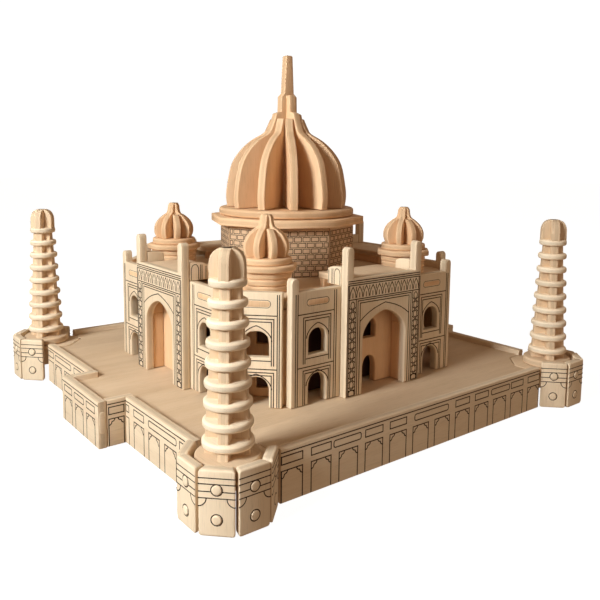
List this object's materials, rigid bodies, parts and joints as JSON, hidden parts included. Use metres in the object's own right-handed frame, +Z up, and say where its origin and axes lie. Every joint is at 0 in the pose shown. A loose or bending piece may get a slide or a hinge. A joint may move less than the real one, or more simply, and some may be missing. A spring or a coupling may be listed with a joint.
{
  "type": "miniature landmark model",
  "caption": "Press-fit plywood model of a domed mausoleum on a square plinth, with a minaret of crossed planks and threaded discs on each corner bastion.",
  "frame": {"origin": "middle of the plinth's footprint, on the surface it stands on", "axes": "+Z up along the dome's axis; +X and +Y across the plinth, with the stepped bays on the two X sides and the long plain walls on the two Y sides"},
  "size_m": [0.2352, 0.2352, 0.1802],
  "materials": {
    "wall_plywood": "matte, unvarnished birch or basswood plywood",
    "deck_plywood": "matte, unvarnished birch or basswood plywood",
    "minaret_plywood": "matte, unvarnished birch or basswood plywood",
    "facade_plywood": "matte, unvarnished birch or basswood plywood",
    "dome_plywood": "matte, unvarnished birch or basswood plywood"
  },
  "bodies": {
    "root": {"bastion_back_left": "wall_plywood", "bastion_back_right": "wall_plywood", "bastion_front_left": "wall_plywood", "bastion_front_right": "wall_plywood", "bay_left_cheek_back": "wall_plywood", "bay_left_cheek_front": "wall_plywood", "bay_left_front": "wall_plywood", "bay_right_cheek_back": "wall_plywood", "bay_right_cheek_front": "wall_plywood", "bay_right_front": "wall_plywood", "corner_board_back_left": "facade_plywood", "corner_board_back_right": "facade_plywood", "corner_board_front_left": "facade_plywood", "corner_board_front_right": "facade_plywood", "deck": "deck_plywood", "dome_disc": "dome_plywood", "dome_half_rib_030": "dome_plywood", "dome_half_rib_060": "dome_plywood", "dome_half_rib_120": "dome_plywood", "dome_half_rib_150": "dome_plywood", "dome_half_rib_210": "dome_plywood", "dome_half_rib_240": "dome_plywood", "dome_half_rib_300": "dome_plywood", "dome_half_rib_330": "dome_plywood", "dome_rib_through_x": "dome_plywood", "dome_rib_through_y": "dome_plywood", "drum": "wall_plywood", "drum_cornice": "dome_plywood", "facade_back": "facade_plywood", "facade_front": "facade_plywood", "facade_left": "facade_plywood", "facade_right": "facade_plywood", "kiosk_back_left": "dome_plywood", "kiosk_back_right": "dome_plywood", "kiosk_front_left": "dome_plywood", "kiosk_front_right": "dome_plywood", "minaret_back_left": "minaret_plywood", "minaret_back_right": "minaret_plywood", "minaret_front_left": "minaret_plywood", "minaret_front_right": "minaret_plywood", "niche_back": "facade_plywood", "niche_front": "facade_plywood", "niche_left": "facade_plywood", "niche_right": "facade_plywood", "portal_back": "facade_plywood", "portal_front": "facade_plywood", "portal_left": "facade_plywood", "portal_right": "facade_plywood", "portal_roof_back": "facade_plywood", "portal_roof_front": "facade_plywood", "portal_roof_left": "facade_plywood", "portal_roof_right": "facade_plywood", "roof": "deck_plywood", "wall_back": "wall_plywood", "wall_front": "wall_plywood", "wall_left_back": "wall_plywood", "wall_left_front": "wall_plywood", "wall_right_back": "wall_plywood", "wall_right_front": "wall_plywood"}
  },
  "joints": []
}
